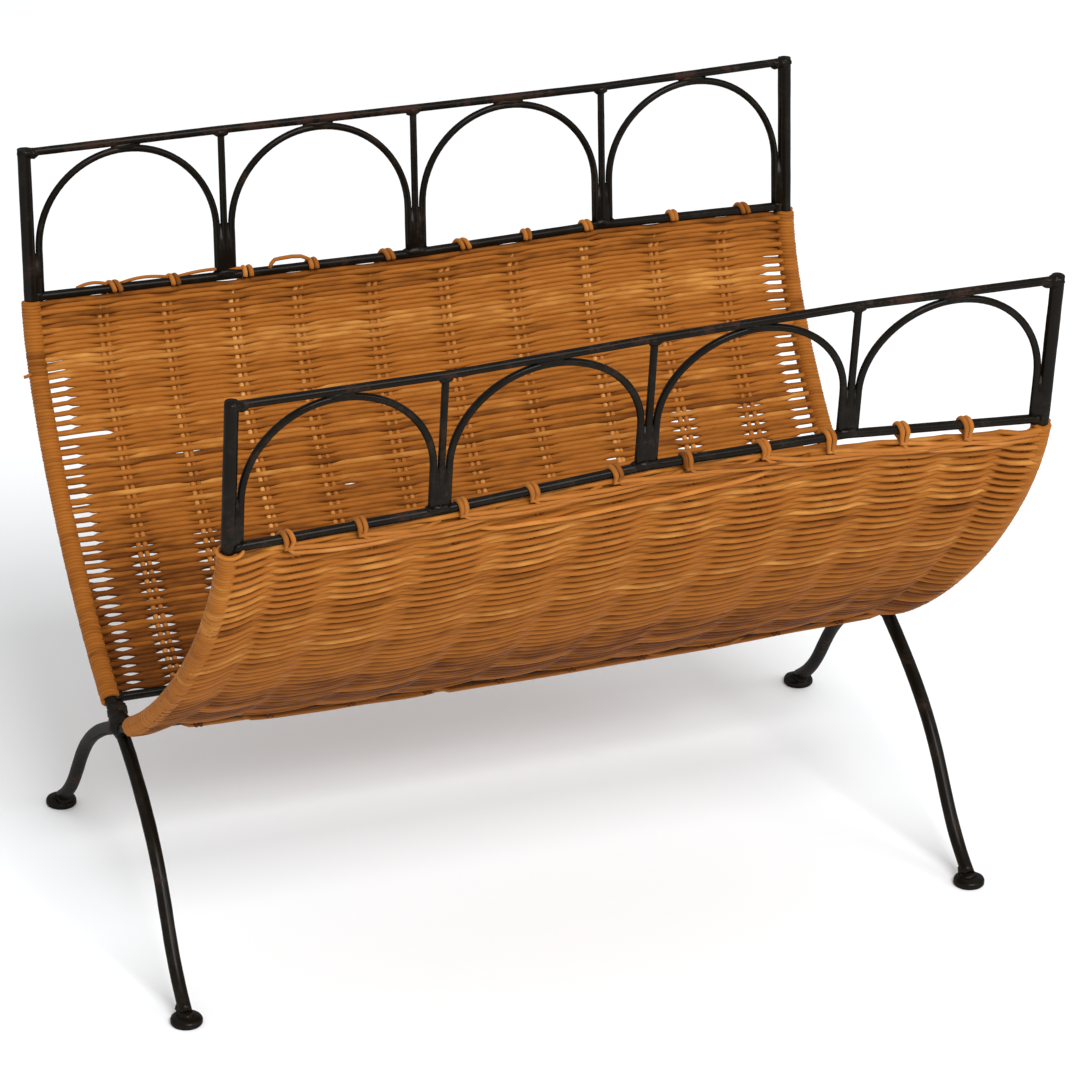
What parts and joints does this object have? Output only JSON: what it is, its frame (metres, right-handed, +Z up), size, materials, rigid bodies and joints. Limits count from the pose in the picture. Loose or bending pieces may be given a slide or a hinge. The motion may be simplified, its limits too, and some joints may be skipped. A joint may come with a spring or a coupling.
{
  "type": "magazine rack",
  "caption": "Free-standing magazine rack: a welded black iron frame on crossed curved legs, with arcaded rails above two woven reed panels that form an open trough.",
  "frame": {"origin": "on the floor, under the middle of the rack's box", "axes": "+X along the rails to the rack's right end, +Y to the rear leaf, +Z up"},
  "size_m": [0.4792, 0.356, 0.3847],
  "materials": {
    "black_iron": "satin black paint over hammered wrought iron, worn brown at welds and edges",
    "woven_reed": "natural round reed, aged to honey brown",
    "stake_reed": "natural round reed, aged to honey brown"
  },
  "bodies": {
    "root": {"left_front_post_rear_leg": "black_iron", "front_left_foot": "black_iron", "left_rear_post_front_leg": "black_iron", "rear_left_foot": "black_iron", "right_front_post_rear_leg": "black_iron", "front_right_foot": "black_iron", "right_rear_post_front_leg": "black_iron", "rear_right_foot": "black_iron", "front_top_rail": "black_iron", "front_basket_rail": "black_iron", "front_bottom_rail": "black_iron", "front_upright_1": "black_iron", "front_upright_2": "black_iron", "front_upright_3": "black_iron", "front_arch_1": "black_iron", "front_arch_2": "black_iron", "front_arch_3": "black_iron", "front_arch_4": "black_iron", "front_stake_01": "stake_reed", "front_stake_02": "stake_reed", "front_stake_03": "stake_reed", "front_stake_04": "stake_reed", "front_stake_05": "stake_reed", "front_stake_06": "stake_reed", "front_stake_07": "stake_reed", "front_stake_08": "stake_reed", "front_stake_09": "stake_reed", "front_stake_10": "stake_reed", "front_woven_panel": "woven_reed", "rear_top_rail": "black_iron", "rear_basket_rail": "black_iron", "rear_bottom_rail": "black_iron", "rear_upright_1": "black_iron", "rear_upright_2": "black_iron", "rear_upright_3": "black_iron", "rear_arch_1": "black_iron", "rear_arch_2": "black_iron", "rear_arch_3": "black_iron", "rear_arch_4": "black_iron", "rear_stake_01": "stake_reed", "rear_stake_02": "stake_reed", "rear_stake_03": "stake_reed", "rear_stake_04": "stake_reed", "rear_stake_05": "stake_reed", "rear_stake_06": "stake_reed", "rear_stake_07": "stake_reed", "rear_stake_08": "stake_reed", "rear_stake_09": "stake_reed", "rear_stake_10": "stake_reed", "rear_woven_panel": "woven_reed"}
  },
  "joints": []
}
